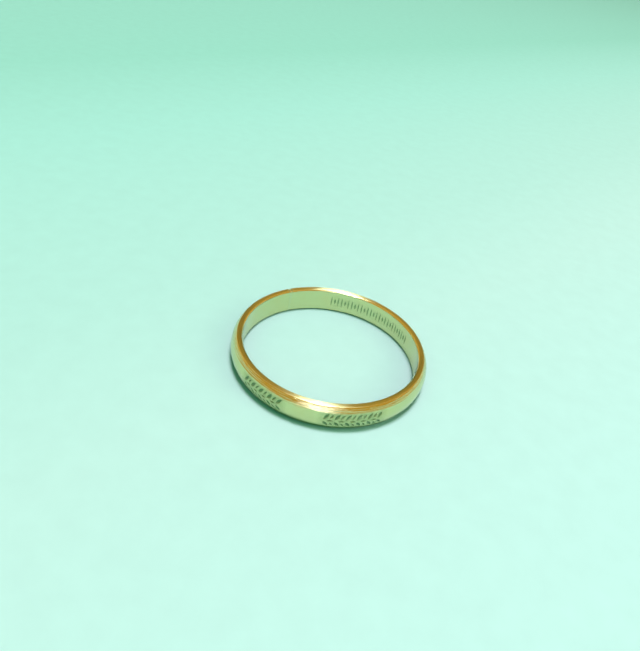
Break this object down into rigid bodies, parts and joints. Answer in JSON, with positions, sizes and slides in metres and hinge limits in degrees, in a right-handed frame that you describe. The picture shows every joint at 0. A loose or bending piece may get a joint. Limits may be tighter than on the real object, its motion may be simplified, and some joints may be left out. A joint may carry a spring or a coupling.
{
  "type": "wedding band",
  "caption": "Slim half-round wedding band, flat inside with softened edges, closed by a solder seam, with leafy bright-cut sprigs outside and a border of small marks on the bore.",
  "frame": {"origin": "middle of the lower side face, on the axis of the bore, where the band rests on a surface", "axes": "+Z along the finger, square to the two side faces; +X and +Y across the band, with the plain stretch between the two outside sprigs facing -Y and the solder seam half way between -X and +Y"},
  "size_m": [0.019, 0.019, 0.0026],
  "materials": {
    "yellow_gold": "polished",
    "gold_solder": "satin"
  },
  "bodies": {
    "root": {"band_shank": "yellow_gold", "solder_seam": "gold_solder"}
  },
  "joints": []
}
